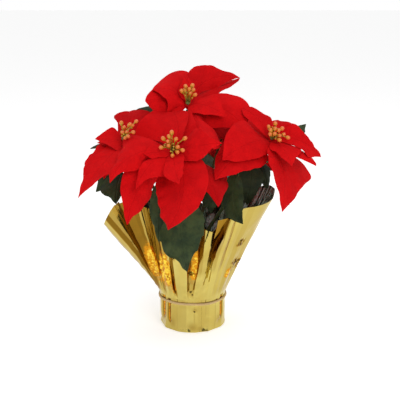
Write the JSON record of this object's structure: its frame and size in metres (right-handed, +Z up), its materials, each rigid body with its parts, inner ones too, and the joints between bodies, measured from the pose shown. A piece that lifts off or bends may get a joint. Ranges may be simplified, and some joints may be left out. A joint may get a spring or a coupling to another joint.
{
  "type": "artificial poinsettia in a foil-wrapped pot",
  "caption": "Artificial poinsettia bush with layered cloth bracts, berry clusters and green leaves, standing in a pot wrapped in gathered gold film tied with a cord",
  "frame": {"origin": "centre of the flat underside of the foil wrap, on the ground", "axes": "+Z up, -Y towards the front flower head, +X to the right seen from the front"},
  "size_m": [0.3731, 0.3823, 0.4254],
  "materials": {
    "gold_foil": "mirror-bright gold metallised film, silver on the inside, pleated and crumpled",
    "twine": "matte twisted tan cord",
    "pot_plastic": "plain thin-walled nursery pot plastic",
    "plaster": "rough cast filling",
    "stem_plastic": "moulded green stem plastic",
    "bract_cloth": "velvety red cloth, heat-pressed veins, slightly frayed edge",
    "berry_plastic": "orange berries on yellow-green stalks, satin",
    "leaf_cloth": "printed dark green cloth with a moulded vein relief"
  },
  "bodies": {
    "root": {"foil_wrap": "gold_foil", "tie_cord": "twine", "pot": "pot_plastic", "filling": "plaster", "stem_bush": "stem_plastic", "front_lower_bracts": "bract_cloth", "front_large_bracts": "bract_cloth", "front_upper_bracts": "bract_cloth", "front_inner_bracts": "bract_cloth", "front_flower": "berry_plastic", "top_lower_bracts": "bract_cloth", "top_large_bracts": "bract_cloth", "top_upper_bracts": "bract_cloth", "top_flower": "berry_plastic", "right_lower_bracts": "bract_cloth", "right_large_bracts": "bract_cloth", "right_upper_bracts": "bract_cloth", "right_flower": "berry_plastic", "left_lower_bracts": "bract_cloth", "left_large_bracts": "bract_cloth", "left_upper_bracts": "bract_cloth", "left_flower": "berry_plastic", "back_right_large_bracts": "bract_cloth", "back_right_upper_bracts": "bract_cloth", "back_right_flower": "berry_plastic", "back_left_large_bracts": "bract_cloth", "back_left_upper_bracts": "bract_cloth", "back_left_flower": "berry_plastic", "leaf_1": "leaf_cloth", "leaf_2": "leaf_cloth", "leaf_3": "leaf_cloth", "leaf_4": "leaf_cloth", "leaf_4b": "leaf_cloth", "leaf_5": "leaf_cloth", "leaf_5b": "leaf_cloth", "leaf_6": "leaf_cloth", "leaf_7": "leaf_cloth", "leaf_8": "leaf_cloth", "leaf_9": "leaf_cloth", "leaf_10": "leaf_cloth", "leaf_11": "leaf_cloth", "leaf_12": "leaf_cloth", "leaf_13": "leaf_cloth", "leaf_14": "leaf_cloth"}
  },
  "joints": []
}
